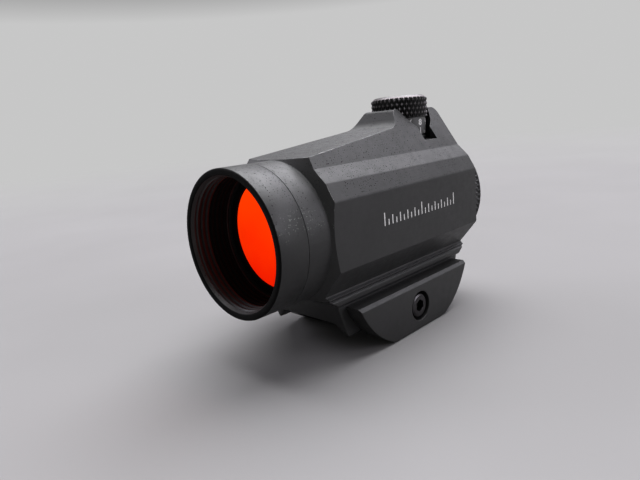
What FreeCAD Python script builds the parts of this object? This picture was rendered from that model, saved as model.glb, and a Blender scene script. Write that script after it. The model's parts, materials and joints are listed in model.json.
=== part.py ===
import FreeCAD, Part
import math
import os

# Compact tube red dot sight on a low rail mount. Millimetres.
# Front of the sight faces -Y, up is +Z, the user's left is +X.
# The origin is on the mount's rail seat, midway along it, on the plane of symmetry.

V = FreeCAD.Vector
UP = V(0, 0, 1)
REARWARD = V(0, 1, 0)
LEFT = V(1, 0, 0)
RIGHT = V(-1, 0, 0)

# Driving dimensions of the whole
AXIS_HEIGHT = 19.6          # optical axis above the rail seat
FRONT = -38.5               # front rim of the sight along Y
BELL_RADIUS = 14.3
BEZEL_LENGTH = 6.76
BELL_LENGTH = 12.28
HOUSING_REAR = FRONT + 63.8
TOTAL_REAR = FRONT + 67.5
BORE_RADIUS = 12.1
CELL_BORE_RADIUS = 12.9
CELL_BORE_END = FRONT + 16.9
THREAD_GAP = 0.07           # radial gap of every thread and running fit

# Housing outline, measured from the optical axis
HALF_WIDTH = 14.94
TOWER_TOP = 22.05
TOWER_HALF_WIDTH = 4.05
TOWER_LEAN = 0.657          # sideways run per unit of height
CREASE_HEIGHT = 12.4
CREASE_HALF_WIDTH = TOWER_HALF_WIDTH + TOWER_LEAN * (TOWER_TOP - CREASE_HEIGHT)
FOOT_BOTTOM = -13.2
RAMP_START = 14.35          # top of the housing at its front face
RAMP_RISE = 0.1206          # height gained per unit of length

# Turrets
TURRET_Y = FRONT + 54.45
POCKET_RADIUS = 7.4
POCKET_FLOOR = 14.5         # from the optical axis
KNOB_RADIUS = 6.76
KNOB_START = 19.88
KNOB_TOP = 25.1
DIAL_RADIUS = 6.2
DIAL_START = 15.85
FLANGE_TOP = DIAL_START - 0.25   # of the bushing under the dial
POST_RADIUS = 3.6
SPINDLE_RADIUS = 1.72
SPINDLE_TIP = 11.12
DETENT_REACH = 4.5          # detent ball's distance from the turret axis
DETENT_BALL = 0.5

# Tilting optical tube
PIVOT_Y = FRONT + 18.2
TUBE_RADIUS = 10.7
TUBE_INNER_RADIUS = 10.0
TUBE_REAR = FRONT + 61.0
CELL_FRONT = FRONT + 9.6
CELL_RADIUS = 12.3
LENS_RADIUS = 11.5
APERTURE_RADIUS = 11.0
PAD_HEIGHT = 11.05
PIN_RADIUS = 0.6

# Brightness switch and battery, stations measured from the optical axis
SWITCH_Y = FRONT + 28.5
SWITCH_RADIUS = 11.6
RECESS_RADIUS = 10.2
RECESS_FLOOR = 13.4
BOSS_TOP = 16.6
BATTERY_RADIUS = 10.0
BATTERY_START = 17.25
BATTERY_END = 20.45

# Rail mount, heights measured from the rail seat
MOUNT_HALF_WIDTH = 14.6
MOUNT_BOTTOM = -6.9
JAW_TOP = 3.9
JAW_CHAMFER = 0.65
JAW_HALF_LENGTH = 20.1
JAW_BOTTOM_HALF_LENGTH = 9.0
PLATE_START = 10.75
CORE_HALF_WIDTH = 10.65
TOP_PLATE_BOTTOM = 4.6
TOP_PLATE_HALF_WIDTH = 11.3
TOP_PLATE_HALF_LENGTH = 24.9
TOP_PLATE_SLANT = 2.5         # how far each end slopes in towards the core
SEAT_HALF_WIDTH = 8.0
GROOVE_HALF_WIDTH = 10.7    # a 21.2 mm rail is 10.6 half wide
LAND_TOP = -2.7
LAND_BOTTOM = -4.2
LIP_HALF_WIDTH = 8.3
CROSS_BOLT_Z = -1.52        # its lower side is 3 mm deep, inside a rail's cross slot
BOLT_RADIUS = 1.47
BOLT_HOLE_RADIUS = 1.6
BOLT_GROOVE_HALF_WIDTH = 2.0    # cross groove in the seat above the bolt
BOLT_GROOVE_DEPTH = 0.4
BOLT_HEAD_RADIUS = 2.75
BOLT_HEAD_START = 11.5
BOLT_HEAD_END = 14.4
BASE_SCREW_X = 5.6
BASE_SCREW_Y = 17.0
GUIDE_PIN_Y = 11.0
GUIDE_PIN_Z = 1.9


def above_axis(height):
    """Row height of a point given from the optical axis."""
    return AXIS_HEIGHT + height


def placed(shape, facing, centre):
    """Copy of a shape with its local +Z turned to face a direction, then moved to a centre."""
    result = shape.copy()
    turn = FreeCAD.Rotation(UP, facing)
    result.Placement = FreeCAD.Placement(centre, turn).multiply(shape.Placement)
    return result


def turned(profile, facing=REARWARD, centre=V(0, 0, AXIS_HEIGHT)):
    """Solid of revolution. The profile lists (radius, station) corners."""
    corners = [V(radius, 0, station) for radius, station in profile]
    face = Part.Face(Part.makePolygon(corners + corners[:1]))
    return placed(face.revolve(V(0, 0, 0), UP, 360), facing, centre)


def rod(radius, start, end, facing=REARWARD, centre=V(0, 0, AXIS_HEIGHT)):
    """Plain cylinder between two stations."""
    return placed(Part.makeCylinder(radius, end - start, V(0, 0, start)), facing, centre)


def ring(outer, inner, start, end, facing=REARWARD, centre=V(0, 0, AXIS_HEIGHT)):
    """Plain ring between two stations."""
    profile = [(inner, start), (outer, start), (outer, end), (inner, end)]
    return turned(profile, facing, centre)


def o_ring(middle_radius, cord_radius, station, facing=REARWARD, centre=V(0, 0, AXIS_HEIGHT)):
    """Rubber seal of round section."""
    torus = Part.makeTorus(middle_radius, cord_radius, V(0, 0, station))
    return placed(torus, facing, centre)


def coil_spring(middle_radius, wire_radius, turns, start, end, facing, centre):
    """Round wire coiled between two stations."""
    free = end - start - 2 * wire_radius
    path = Part.makeHelix(free / turns, free, middle_radius)
    section = Part.makeCircle(wire_radius, V(middle_radius, 0, 0), V(0, 1, 0))
    pipe = Part.Wire(path.Edges).makePipeShell([Part.Wire([section])], True, True)
    pipe.translate(V(0, 0, start + wire_radius))
    return placed(pipe, facing, centre)


def tiny_spring(turns, start, end, centre):
    """Detent spring, drawn as a corrugated sleeve because its wire is so thin."""
    outer = 0.46
    waist = 0.38
    inner = 0.28
    step = (end - start) / turns
    profile = [(inner, end), (inner, start)]
    for index in range(turns):
        profile.append((waist, start + index * step))
        profile.append((outer, start + (index + 0.5) * step))
    profile.append((waist, end))
    return turned(profile, UP, centre)


def rounded_face(corners, to_space):
    """Face inside an outline of (u, v, rounding radius) corners."""
    spots = [V(u, v, 0) for u, v, radius in corners]
    turns = []
    for index, corner in enumerate(spots):
        back = (spots[index - 1] - corner).normalize()
        ahead = (spots[(index + 1) % len(spots)] - corner).normalize()
        half_angle = back.getAngle(ahead) / 2
        radius = corners[index][2]
        reach = radius / math.tan(half_angle)
        inward = (back + ahead).normalize()
        middle = corner + inward * (radius / math.sin(half_angle) - radius)
        turns.append((corner + back * reach, middle, corner + ahead * reach))
    edges = []
    for index, (entry, middle, leave) in enumerate(turns):
        if corners[index][2] > 0:
            arc_points = [to_space(point.x, point.y) for point in (entry, middle, leave)]
            edges.append(Part.Arc(*arc_points).toShape())
        next_entry = turns[(index + 1) % len(turns)][0]
        line_start = to_space(leave.x, leave.y)
        line_end = to_space(next_entry.x, next_entry.y)
        edges.append(Part.LineSegment(line_start, line_end).toShape())
    return Part.Face(Part.Wire(edges))


def slab_along_y(corners, start, end):
    """Outline of (x, z, rounding) corners carried from one Y to another."""
    face = rounded_face(corners, lambda u, v: V(u, start, v))
    return face.extrude(V(0, end - start, 0))


def slab_along_x(corners, start, end):
    """Outline of (y, z, rounding) corners carried from one X to another."""
    face = rounded_face(corners, lambda u, v: V(start, u, v))
    return face.extrude(V(end - start, 0, 0))


def block(x_range, y_range, z_range):
    """Rectangular block between pairs of limits."""
    corner = V(x_range[0], y_range[0], z_range[0])
    size = [high - low for low, high in (x_range, y_range, z_range)]
    return Part.makeBox(size[0], size[1], size[2], corner)


def both_sides(corners):
    """Closed outline from its +X half, listed from the top down."""
    mirrored = [(-x, z, radius) for x, z, radius in reversed(corners)]
    return corners + mirrored


def group(shapes):
    """Identical pieces kept as separate solids in one node."""
    return Part.makeCompound(shapes)


# ---------------------------------------------------------------- housing


def housing_block():
    """Faceted body with its sloping top and the elevation tower."""
    half_outline = [
        (TOWER_HALF_WIDTH, above_axis(TOWER_TOP), 0.3),
        (CREASE_HALF_WIDTH, above_axis(CREASE_HEIGHT), 0.6),
        (13.12, above_axis(9.75), 1.0),
        (HALF_WIDTH, above_axis(6.46), 1.0),
        (HALF_WIDTH, above_axis(-6.72), 0.5),
        (10.3, above_axis(-12.3), 0.3),
        (11.0, above_axis(-12.95), 0.1),
        (10.85, above_axis(FOOT_BOTTOM), 0),
    ]
    front = FRONT + 11.0
    slab = slab_along_y(both_sides(half_outline), front, HOUSING_REAR)
    ramp_end_y = FRONT + 43.85
    ramp_end_z = RAMP_START + RAMP_RISE * (ramp_end_y - FRONT - 12.0)
    side_outline = [
        (front, above_axis(RAMP_START - RAMP_RISE), 0),
        (ramp_end_y, above_axis(ramp_end_z), 4.0),
        (FRONT + 46.4, above_axis(TOWER_TOP), 1.2),
        (HOUSING_REAR, above_axis(TOWER_TOP), 1.6),
        (HOUSING_REAR, above_axis(FOOT_BOTTOM), 0),
        (front, above_axis(FOOT_BOTTOM), 0),
    ]
    slab = slab.common(slab_along_x(side_outline, -HALF_WIDTH - 1, HALF_WIDTH + 1))
    cone_rise = 0.53
    cone_radius = 30.0
    cone_rim = FRONT + BELL_LENGTH + cone_rise * (cone_radius - BELL_RADIUS)
    shoulder = [
        (0, FRONT + BELL_LENGTH),
        (BELL_RADIUS, FRONT + BELL_LENGTH),
        (cone_radius, cone_rim),
        (cone_radius, HOUSING_REAR + 1),
        (0, HOUSING_REAR + 1),
    ]
    return slab.common(turned(shoulder))


def windage_tower():
    """Tower on the user's right, shaped like the elevation tower."""
    foot = 9.0
    section = [
        (TOWER_HALF_WIDTH, TOWER_TOP, 0.3),
        (CREASE_HALF_WIDTH, CREASE_HEIGHT, 0),
        (CREASE_HALF_WIDTH, foot, 0),
    ]
    front = FRONT + 38.0
    slab = slab_along_y(both_sides(section), front, HOUSING_REAR)
    side_outline = [
        (FRONT + 39.2, foot, 0),
        (FRONT + 41.2, HALF_WIDTH - 0.8, 2.0),
        (FRONT + 46.4, TOWER_TOP, 1.2),
        (HOUSING_REAR, TOWER_TOP, 1.6),
        (HOUSING_REAR, foot, 0),
    ]
    slab = slab.common(slab_along_x(side_outline, -12, 12))
    return placed(slab, RIGHT, V(0, 0, AXIS_HEIGHT))


def turret_cutter(facing):
    """Pocket, index window, bushing hole and detent hole of one turret."""
    open_end = KNOB_TOP + 5
    pocket = Part.makeCylinder(POCKET_RADIUS, open_end - POCKET_FLOOR, V(0, 0, POCKET_FLOOR))
    window = block((0, 14), (-2.8, 2.3), (POCKET_FLOOR, open_end))
    bushing_hole = Part.makeCylinder(3.2, 4, V(0, 0, POCKET_FLOOR - 3.4))
    detent_hole = Part.makeCylinder(0.56, 2, V(DETENT_REACH, 0, 13.0))
    cutter = pocket.fuse([window, bushing_hole, detent_hole])
    return placed(cutter, facing, V(0, TURRET_Y, AXIS_HEIGHT))


def switch_cutter():
    """Recess in the switch boss with its screw, wire and detent holes."""
    holes = [Part.makeCylinder(0.6, 2, V(0, side * 8.0, 12.7)) for side in (-1, 1)]
    pivot_hole = Part.makeCylinder(1.2, 2, V(0, 0, 12.5))
    wire_hole = Part.makeCylinder(1.0, 4, V(-4.5, 0, 11.0))
    detent_hole = Part.makeCylinder(0.5, 3, V(10.85, 0, 14.2))
    recess = Part.makeCylinder(RECESS_RADIUS, 5, V(0, 0, RECESS_FLOOR))
    cutter = recess.fuse(holes + [pivot_hole, wire_hole, detent_hole])
    return placed(cutter, RIGHT, V(0, SWITCH_Y, AXIS_HEIGHT))


def housing():
    bell_rear = rod(BELL_RADIUS, FRONT + BEZEL_LENGTH, FRONT + BELL_LENGTH)
    rear_stub = rod(12.95, HOUSING_REAR - 1, FRONT + 66.1)
    boss = rod(SWITCH_RADIUS, 9.0, BOSS_TOP, RIGHT, V(0, SWITCH_Y, AXIS_HEIGHT))
    body = housing_block().fuse([bell_rear, rear_stub, windage_tower(), boss])
    bore = turned([
        (0, FRONT + 6.0),
        (13.55, FRONT + 6.0),
        (13.55, FRONT + 9.42),
        (CELL_BORE_RADIUS, FRONT + 9.42),
        (CELL_BORE_RADIUS, CELL_BORE_END),
        (BORE_RADIUS, CELL_BORE_END),
        (BORE_RADIUS, FRONT + 62.2),
        (10.6, FRONT + 62.2),
        (10.6, FRONT + 63.6),
        (11.6, FRONT + 63.6),
        (11.6, TOTAL_REAR + 1),
        (0, TOTAL_REAR + 1),
    ])
    seal_groove = ring(11.45, 10.55, FRONT + 63.0, FRONT + 63.7)
    cutters = [bore, seal_groove, turret_cutter(UP), turret_cutter(RIGHT), switch_cutter()]
    cutters.append(spring_slot())
    for side in (-1, 1):
        pin_hole = Part.makeCylinder(PIN_RADIUS, 30, V(0, PIVOT_Y, AXIS_HEIGHT), V(0, 0, side))
        depth_limit = rod(13.2, PIVOT_Y - 2, PIVOT_Y + 2)
        cutters.append(pin_hole.common(depth_limit))
        for end in (-1, 1):
            spot = V(side * BASE_SCREW_X, end * BASE_SCREW_Y, above_axis(FOOT_BOTTOM) - 0.5)
            cutters.append(Part.makeCylinder(1.25, 2.5, spot))
    cutters.append(recoil_key())
    return body.cut(cutters)


def objective_bezel():
    """Front ring with stepped grooves inside that stop stray light."""
    profile = [
        (13.04, FRONT + 0.2),
        (13.24, FRONT),
        (14.05, FRONT),
        (BELL_RADIUS, FRONT + 0.25),
        (BELL_RADIUS, FRONT + BEZEL_LENGTH - 0.12),
        (BELL_RADIUS - 0.12, FRONT + BEZEL_LENGTH),
        (13.48, FRONT + BEZEL_LENGTH),
        (13.48, FRONT + 8.6),
        (12.7, FRONT + 8.6),
    ]
    groove_pitch = 1.1
    for index in range(6, -1, -1):
        start = FRONT + 0.9 + index * groove_pitch
        profile.append((12.7, start + 0.75))
        profile.append((13.04, start + 0.45))
        profile.append((13.04, start + 0.2))
        profile.append((12.7, start))
    return turned(profile)


# ---------------------------------------------------------------- optics


def inner_tube():
    """Tilting tube: lens cell in front, thin tube behind, two flats for the screws."""
    tube = turned([
        (11.55, CELL_FRONT),
        (CELL_RADIUS, CELL_FRONT),
        (CELL_RADIUS, FRONT + 15.2),
        (TUBE_RADIUS, FRONT + 16.0),
        (TUBE_RADIUS, TUBE_REAR),
        (TUBE_INNER_RADIUS, TUBE_REAR),
        (TUBE_INNER_RADIUS, FRONT + 15.0),
        (10.6, FRONT + 14.4),
        (10.6, FRONT + 13.6),
        (11.55, FRONT + 13.6),
    ])
    pads = []
    for facing in (UP, RIGHT):
        pads.append(rod(2.2, TUBE_RADIUS - 0.45, PAD_HEIGHT, facing, V(0, TURRET_Y, AXIS_HEIGHT)))
    holes = []
    for side in (-1, 1):
        start = V(0, PIVOT_Y, AXIS_HEIGHT)
        holes.append(Part.makeCylinder(PIN_RADIUS + 0.05, 14, start, V(side, 0, 0)))
    lead_slot = around_axis(block((-1.6, 1.6), (FRONT + 57.0, FRONT + 58.2), (-12, -9)))
    return tube.fuse(pads).cut(holes + [lead_slot])


def around_axis(shape, degrees=-65):
    """Turn a piece built below the optical axis to its real angle around that axis."""
    result = shape.copy()
    turn = FreeCAD.Rotation(REARWARD, -degrees)
    result.Placement = FreeCAD.Placement(V(0, 0, AXIS_HEIGHT), turn).multiply(shape.Placement)
    return result


def objective_lens_halves():
    """Cemented pair. The curved face between the halves carries the reflecting coating."""
    start = FRONT + 10.2
    joint = FRONT + 11.9
    end = FRONT + 13.6
    curve_radius = 95.0
    blank = rod(LENS_RADIUS, start, end)
    curved_side = Part.makeSphere(curve_radius, V(0, joint + curve_radius, AXIS_HEIGHT))
    return blank.cut(curved_side), blank.common(curved_side)


def led_holder():
    """Small bracket inside the tube that aims the emitter at the objective."""
    wedge = block((-2.2, 2.2), (FRONT + 55.4, FRONT + 58.2), (-10.5, -8.2))
    tube_inside = Part.makeCylinder(TUBE_INNER_RADIUS, 10, V(0, FRONT + 50, 0), V(0, 1, 0))
    return around_axis(wedge.common(tube_inside))


def led_emitter():
    return around_axis(block((-0.6, 0.6), (FRONT + 54.8, FRONT + 55.4), (-9.4, -8.4)))


def led_ribbon():
    """Flat lead along the outside of the tube."""
    strip = block((-1.4, 1.4), (FRONT + 26.0, FRONT + 58.0), (-11.2, -10.4))
    outer = Part.makeCylinder(TUBE_RADIUS + 0.16, 60, V(0, FRONT + 10, 0), V(0, 1, 0))
    inner = Part.makeCylinder(TUBE_RADIUS + 0.02, 60, V(0, FRONT + 10, 0), V(0, 1, 0))
    return around_axis(strip.common(outer).cut(inner))


def pivot_ring():
    """Gimbal ring between housing and tube."""
    body = ring(11.75, 10.95, PIVOT_Y - 1.5, PIVOT_Y + 1.5)
    upright = Part.makeCylinder(PIN_RADIUS + 0.05, 30, V(0, PIVOT_Y, AXIS_HEIGHT - 15))
    across = Part.makeCylinder(PIN_RADIUS, 30, V(-15, PIVOT_Y, AXIS_HEIGHT), LEFT)
    return body.cut([upright, across])


def pivot_pins():
    """Upright pins from the housing into the gimbal ring."""
    pins = []
    for side in (-1, 1):
        start = V(0, PIVOT_Y, AXIS_HEIGHT + side * 11.05)
        pins.append(Part.makeCylinder(PIN_RADIUS, 2.1, start, V(0, 0, side)))
    return group(pins)


def tilt_pins():
    """Cross pins from the gimbal ring into the tube."""
    pins = []
    for side in (-1, 1):
        start = V(side * 10.15, PIVOT_Y, AXIS_HEIGHT)
        pins.append(Part.makeCylinder(PIN_RADIUS, 1.55, start, V(side, 0, 0)))
    return group(pins)


def spring_slot():
    """Flat pocket in the bore for the return spring."""
    pocket = block((-2.4, 2.4), (FRONT + 38.0, FRONT + 60.0), (-12.7, -10.9))
    return around_axis(pocket, 45)


def return_spring():
    """Bowed leaf that presses the tube up and to the right, against both screws."""
    thickness = 0.25
    ends_y = (FRONT + 38.6, FRONT + 59.4)
    middle_y = sum(ends_y) / 2
    low = -12.6
    high = -11.1
    lower = [V(-2, ends_y[0], low), V(-2, middle_y, high), V(-2, ends_y[1], low)]
    upper = [point + V(0, 0, thickness) for point in lower]
    edges = [
        Part.Arc(*lower).toShape(),
        Part.LineSegment(lower[2], upper[2]).toShape(),
        Part.Arc(*reversed(upper)).toShape(),
        Part.LineSegment(upper[0], lower[0]).toShape(),
    ]
    leaf = Part.Face(Part.Wire(edges)).extrude(V(4, 0, 0))
    return around_axis(leaf, 45)


def eyepiece_ring():
    """Knurled ring screwed on the rear stub, with an inward lip."""
    inner = 12.95 + THREAD_GAP
    profile = [
        (inner, HOUSING_REAR + 0.2),
        (14.25, HOUSING_REAR + 0.2),
        (14.5, HOUSING_REAR + 0.45),
        (14.5, TOTAL_REAR - 0.35),
        (14.15, TOTAL_REAR),
        (11.7, TOTAL_REAR),
        (11.3, TOTAL_REAR - 0.3),
        (11.3, FRONT + 66.8),
        (inner, FRONT + 66.8),
    ]
    return turned(profile)


# ---------------------------------------------------------------- turrets


def turret_bushing():
    """Threaded insert with the post that the dial turns on."""
    bore = SPINDLE_RADIUS + THREAD_GAP
    body = turned([
        (bore, 12.3),
        (3.2, 12.3),
        (3.2, POCKET_FLOOR),
        (5.0, POCKET_FLOOR),
        (5.0, FLANGE_TOP),
        (POST_RADIUS, FLANGE_TOP),
        (POST_RADIUS, 19.0),
        (bore, 19.0),
    ], UP, V(0, 0, 0))
    return body.cut(Part.makeCylinder(0.56, 2, V(DETENT_REACH, 0, 14.0)))


def turret_dial():
    """Index ring below the knob, with a ball track underneath."""
    inner = POST_RADIUS + THREAD_GAP
    track_half = 0.55
    return turned([
        (inner, DIAL_START),
        (DETENT_REACH - track_half, DIAL_START),
        (DETENT_REACH - track_half, DIAL_START + 0.45),
        (DETENT_REACH + track_half, DIAL_START + 0.45),
        (DETENT_REACH + track_half, DIAL_START),
        (DIAL_RADIUS, DIAL_START),
        (DIAL_RADIUS, KNOB_START),
        (inner, KNOB_START),
    ], UP, V(0, 0, 0))


def turret_knob():
    """Finger knob with a bore that the spindle slides in and a countersunk top."""
    spindle_bore = SPINDLE_RADIUS + THREAD_GAP
    return turned([
        (spindle_bore, KNOB_START),
        (KNOB_RADIUS - 0.3, KNOB_START),
        (KNOB_RADIUS, KNOB_START + 0.3),
        (KNOB_RADIUS, KNOB_TOP - 0.8),
        (KNOB_RADIUS - 0.95, KNOB_TOP),
        (2.1, KNOB_TOP),
        (1.95, KNOB_TOP - 0.15),
        (0.85, KNOB_TOP - 1.25),
        (0.85, 22.4),
        (spindle_bore, 22.4),
    ], UP, V(0, 0, 0))


def turret_lock_screw():
    """Countersunk screw with a cross-wise driver slot."""
    screw = turned([
        (0, 22.45),
        (0.85, 22.45),
        (0.85, KNOB_TOP - 1.25),
        (1.9, KNOB_TOP - 0.2),
        (0, KNOB_TOP - 0.2),
    ], UP, V(0, 0, 0))
    return screw.cut(block((-3, 3), (-0.22, 0.22), (KNOB_TOP - 0.65, KNOB_TOP)))


def turret_spindle():
    """Lead screw that pushes the tube."""
    return turned([
        (0, SPINDLE_TIP),
        (1.2, SPINDLE_TIP),
        (SPINDLE_RADIUS, SPINDLE_TIP + 0.5),
        (SPINDLE_RADIUS, 21.2),
        (0, 21.2),
    ], UP, V(0, 0, 0))


def turret_parts(prefix, facing):
    """Every piece of one turret, built about +Z and then placed."""
    spring_spot = V(DETENT_REACH, 0, 0)
    ball_spot = V(DETENT_REACH, 0, DIAL_START - 0.15)
    local = {
        "knob": turret_knob(),
        "dial": turret_dial(),
        "lock_screw": turret_lock_screw(),
        "spindle": turret_spindle(),
        "bushing": turret_bushing(),
        "o_ring": Part.makeTorus(5.68, 0.6, V(0, 0, 15.12)),
        "detent_ball": Part.makeSphere(DETENT_BALL, ball_spot),
        "detent_spring": tiny_spring(5, 13.05, DIAL_START - 0.67, spring_spot),
    }
    centre = V(0, TURRET_Y, AXIS_HEIGHT)
    return {f"{prefix}_{name}": placed(shape, facing, centre) for name, shape in local.items()}


# ---------------------------------------------------------------- switch and battery


def switch_knob():
    """Rotary cup that holds the battery and turns in the boss."""
    spigot = RECESS_RADIUS - THREAD_GAP
    body = turned([
        (1.25, 15.3),
        (spigot, 15.3),
        (spigot, 15.65),
        (9.35, 15.65),
        (9.35, 16.45),
        (spigot, 16.45),
        (spigot, 16.85),
        (10.42, 16.85),
        (10.42, 17.15),
        (11.28, 17.15),
        (11.28, 16.85),
        (SWITCH_RADIUS - 0.25, 16.85),
        (SWITCH_RADIUS, 17.1),
        (SWITCH_RADIUS, 22.1),
        (SWITCH_RADIUS - 0.3, 22.4),
        (10.45, 22.4),
        (10.45, 20.7),
        (10.25, 20.7),
        (10.25, 16.9),
        (2.4, 16.9),
        (2.4, 16.35),
        (1.25, 16.35),
    ], UP, V(0, 0, 0))
    return body


def battery():
    """Coin cell, 20 mm across and 3.2 mm thick, with its smaller inner face."""
    return turned([
        (0, BATTERY_START),
        (8.9, BATTERY_START),
        (8.9, BATTERY_START + 0.35),
        (BATTERY_RADIUS, BATTERY_START + 0.6),
        (BATTERY_RADIUS, BATTERY_END - 0.2),
        (BATTERY_RADIUS - 0.2, BATTERY_END),
        (0, BATTERY_END),
    ], UP, V(0, 0, 0))


def battery_cap():
    """Screw cap with a coin slot."""
    cap = turned([
        (0, 20.95),
        (10.38, 20.95),
        (10.38, 21.5),
        (9.6, 21.5),
        (9.6, 22.3),
        (10.38, 22.3),
        (10.38, 22.5),
        (10.8, 22.5),
        (11.0, 22.7),
        (11.0, 23.55),
        (10.6, 23.95),
        (0, 23.95),
    ], UP, V(0, 0, 0))
    return cap.cut(block((-9, 9), (-0.9, 0.9), (23.0, 25)))


def switch_pivot():
    """Shoulder screw that keeps the switch knob in the boss."""
    return turned([
        (0, 12.6),
        (1.2, 12.6),
        (1.2, 16.4),
        (2.3, 16.4),
        (2.3, 16.85),
        (0, 16.85),
    ], UP, V(0, 0, 0))


def circuit_board():
    disc = Part.makeCylinder(9.9, 0.8, V(0, 0, 13.45))
    holes = [Part.makeCylinder(0.65, 2, V(0, side * 8.0, 13)) for side in (-1, 1)]
    pivot_hole = Part.makeCylinder(1.35, 2, V(0, 0, 13))
    wire_hole = Part.makeCylinder(1.0, 2, V(-4.5, 0, 13))
    return disc.cut(holes + [pivot_hole, wire_hole])


def board_screws():
    screws = []
    for side in (-1, 1):
        head = Part.makeCylinder(1.1, 0.6, V(0, side * 8.0, 14.25))
        shank = Part.makeCylinder(0.6, 1.5, V(0, side * 8.0, 12.75))
        screws.append(head.fuse(shank))
    return group(screws)


def switch_parts():
    """Every piece of the brightness switch, built about +Z and then placed."""
    local = {
        "circuit_board": circuit_board(),
        "board_screws": board_screws(),
        "driver_chip": block((2.5, 5.7), (-1.6, 1.6), (14.25, 15.0)),
        "switch_pivot": switch_pivot(),
        "switch_knob": switch_knob(),
        "switch_o_ring": Part.makeTorus(9.75, 0.36, V(0, 0, 16.05)),
        "switch_detent_ball": Part.makeSphere(0.45, V(10.85, 0, 16.55)),
        "switch_detent_spring": tiny_spring(5, 14.25, 16.08, V(10.85, 0, 0)),
        "battery_sleeve": ring(10.22, 10.03, 17.3, 20.6, UP, V(0, 0, 0)),
        "battery": battery(),
        "negative_contact": ring(5.2, 3.0, 16.93, 17.22, UP, V(0, 0, 0)),
        "positive_contact": ring(5.2, 3.4, 20.5, 20.95, UP, V(0, 0, 0)),
        "battery_cap": battery_cap(),
        "battery_cap_o_ring": Part.makeTorus(10.0, 0.33, V(0, 0, 21.9)),
    }
    centre = V(0, SWITCH_Y, AXIS_HEIGHT)
    return {name: placed(shape, RIGHT, centre) for name, shape in local.items()}


# ---------------------------------------------------------------- rail mount


def boat_outline(start, end):
    """Side view of a jaw: straight top, round ends, short flat bottom."""
    top_right = V(start, JAW_HALF_LENGTH, JAW_TOP)
    waist_right = V(start, 15.9, -2.4)
    low_right = V(start, JAW_BOTTOM_HALF_LENGTH, MOUNT_BOTTOM)
    top_left = V(start, -JAW_HALF_LENGTH, JAW_TOP)
    waist_left = V(start, -15.9, -2.4)
    low_left = V(start, -JAW_BOTTOM_HALF_LENGTH, MOUNT_BOTTOM)
    edges = [
        Part.LineSegment(top_left, top_right).toShape(),
        Part.Arc(top_right, waist_right, low_right).toShape(),
        Part.LineSegment(low_right, low_left).toShape(),
        Part.Arc(low_left, waist_left, top_left).toShape(),
    ]
    return Part.Face(Part.Wire(edges)).extrude(V(end - start, 0, 0))


def jaw_section(inner, side):
    """Cross-section of a jaw from its inner wall out to the side face, with its rail lip."""
    corners = [
        (inner, JAW_TOP, 0),
        (MOUNT_HALF_WIDTH - JAW_CHAMFER, JAW_TOP, 0),
        (MOUNT_HALF_WIDTH, JAW_TOP - JAW_CHAMFER, 0),
        (MOUNT_HALF_WIDTH, MOUNT_BOTTOM + 0.4, 0),
        (MOUNT_HALF_WIDTH - 0.4, MOUNT_BOTTOM, 0),
        (LIP_HALF_WIDTH, MOUNT_BOTTOM, 0),
        (LIP_HALF_WIDTH, LAND_BOTTOM - (inner - LIP_HALF_WIDTH), 0),
        (inner, LAND_BOTTOM, 0),
    ]
    return [(side * x, z, radius) for x, z, radius in corners]


def rail_groove():
    """Space for the rail between the jaws."""
    half = [
        (SEAT_HALF_WIDTH, 0, 0),
        (GROOVE_HALF_WIDTH, LAND_TOP, 0),
        (GROOVE_HALF_WIDTH, LAND_BOTTOM, 0),
        (LIP_HALF_WIDTH, LAND_BOTTOM - (GROOVE_HALF_WIDTH - LIP_HALF_WIDTH), 0),
        (LIP_HALF_WIDTH, MOUNT_BOTTOM - 2, 0),
    ]
    return slab_along_y(both_sides(half), -30, 30)


def base_screw_spots():
    return [(x, y) for x in (-BASE_SCREW_X, BASE_SCREW_X) for y in (-BASE_SCREW_Y, BASE_SCREW_Y)]


def recoil_key():
    """Cross key that locks the mount to the housing's foot."""
    foot = above_axis(FOOT_BOTTOM)
    return block((-8, 8), (-1.5, 1.5), (foot - 1.0, foot + 0.6))


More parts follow.
